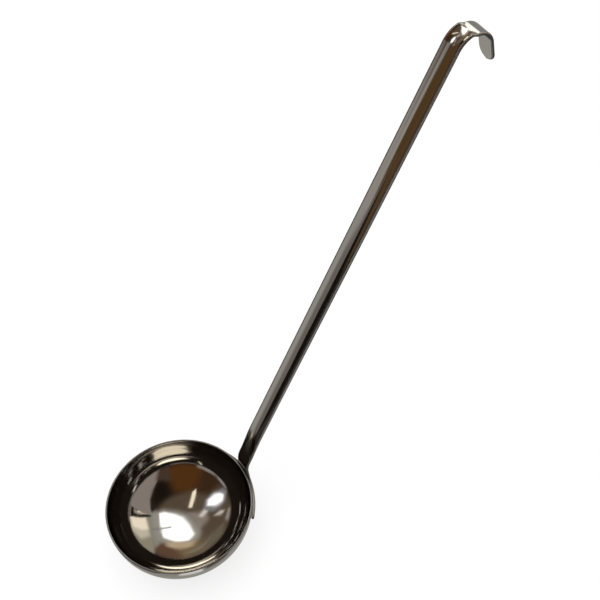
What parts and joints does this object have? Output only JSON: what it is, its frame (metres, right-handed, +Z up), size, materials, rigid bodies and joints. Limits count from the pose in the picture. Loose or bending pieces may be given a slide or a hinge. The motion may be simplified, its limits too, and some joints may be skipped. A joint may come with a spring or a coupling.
{
  "type": "ladle",
  "caption": "Round-bowled kitchen ladle in polished steel with a long channelled strap handle, a welded foot and a hooked end that hangs on a rail or a pan's rim.",
  "frame": {"origin": "centre of the small flat under the bowl", "axes": "+Z up out of the bowl's mouth along the bowl's axis, +X from the bowl's axis towards the handle, +Y to the left of someone who stands behind the handle and faces the bowl's other side"},
  "size_m": [0.2705, 0.1, 0.3462],
  "materials": {
    "bowl_steel": "mirror-polished stainless steel",
    "handle_steel": "polished stainless steel strap",
    "weld_steel": "dressed weld metal, dull with a faint heat tint"
  },
  "bodies": {
    "root": {"bowl": "bowl_steel", "handle": "handle_steel", "spot_weld_left": "weld_steel", "spot_weld_right": "weld_steel", "spot_weld_lower": "weld_steel"}
  },
  "joints": []
}
